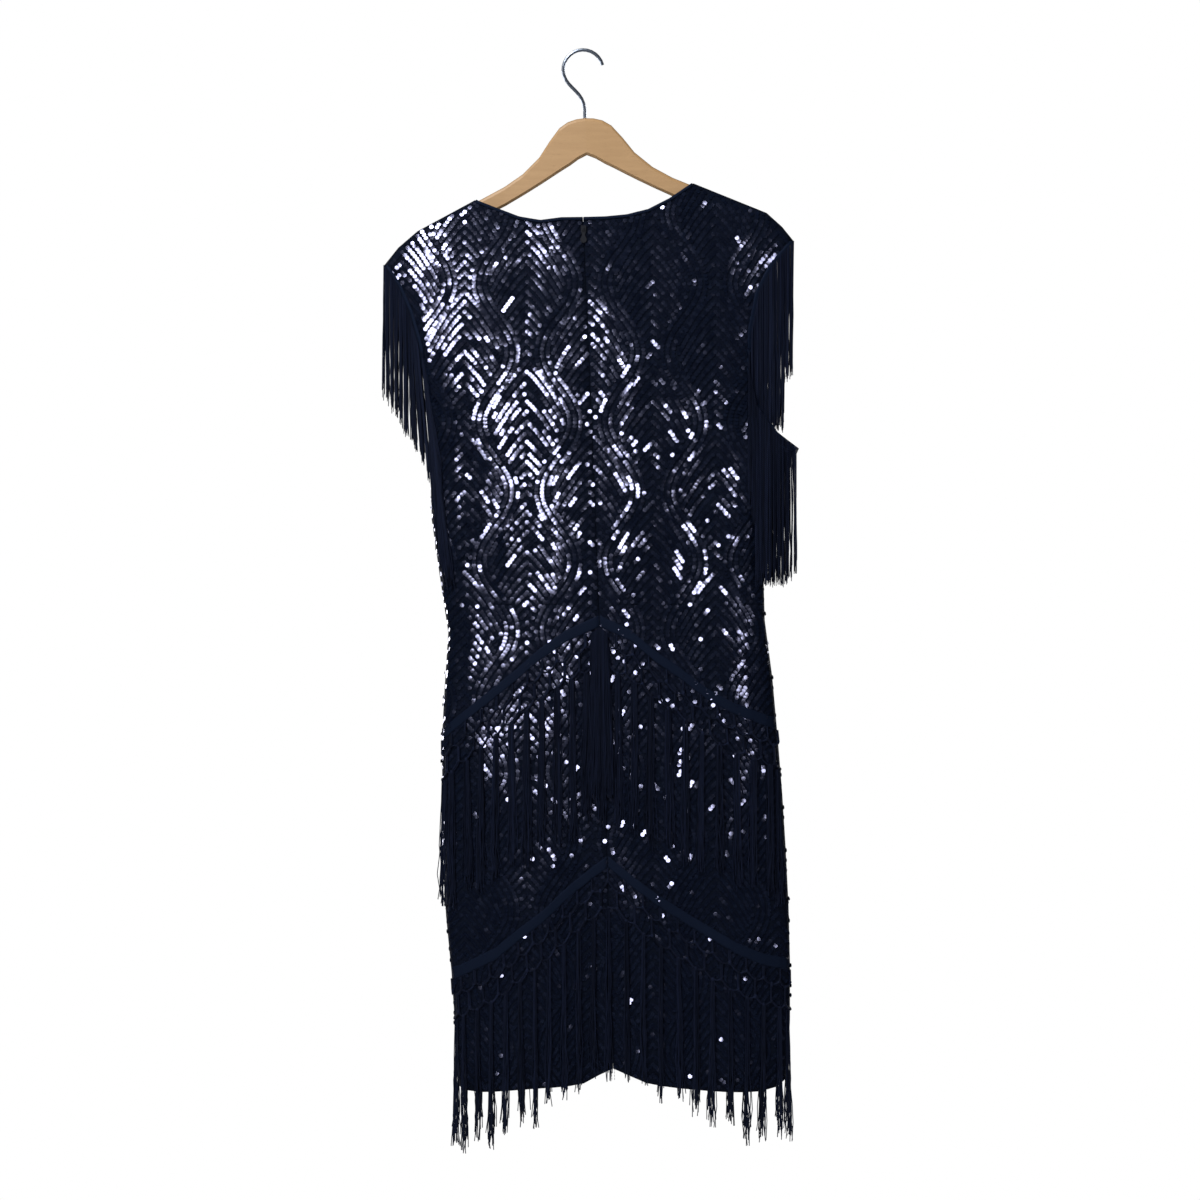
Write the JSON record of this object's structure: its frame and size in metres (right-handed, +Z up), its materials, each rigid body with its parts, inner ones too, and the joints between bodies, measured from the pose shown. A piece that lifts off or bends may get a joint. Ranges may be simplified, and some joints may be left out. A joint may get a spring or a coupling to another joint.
{
  "type": "party dress and hanger",
  "caption": "Sleeveless black sequinned party dress with fringed armholes and two netted, tasselled chevron trims, hung flat from behind on a beech hanger with a bright wire hook.",
  "frame": {"origin": "the inside of the hook's crown, where the hook rests on a rail", "axes": "+Z up along the hanging dress, +Y from the dress's back, with the zip, to its front, +X to the right of someone facing the back"},
  "size_m": [0.4782, 0.0686, 1.2801],
  "materials": {
    "sequinned_mesh": "fine mesh with overlapping glossy sequins",
    "braid": "matt braid and twisted threads",
    "zip_metal": "dark enamel",
    "beech": "satin lacquer",
    "bright_wire": "polished"
  },
  "bodies": {
    "dress": {"back_left": "sequinned_mesh", "back_right": "sequinned_mesh", "front": "sequinned_mesh", "neck_binding_back_left": "braid", "neck_binding_back_right": "braid", "neck_binding_front": "braid", "fringe_left_back": "braid", "fringe_left_front": "braid", "fringe_right_back": "braid", "fringe_right_front": "braid", "upper_trim_back": "braid", "upper_trim_front": "braid", "lower_trim_back": "braid", "lower_trim_front": "braid", "zip_slider": "zip_metal", "hanger_wood": "beech", "hanger_hook": "bright_wire"},
    "pull_tab": {"zip_pull": "zip_metal"}
  },
  "joints": [
    {"name": "pull_tab_hinge", "type": "hinge", "parent": "dress", "child": "pull_tab", "pos_m": [0.00058, -0.017, -0.206], "axis": [1, 0, 0], "range_deg": [-150, 0]}
  ]
}
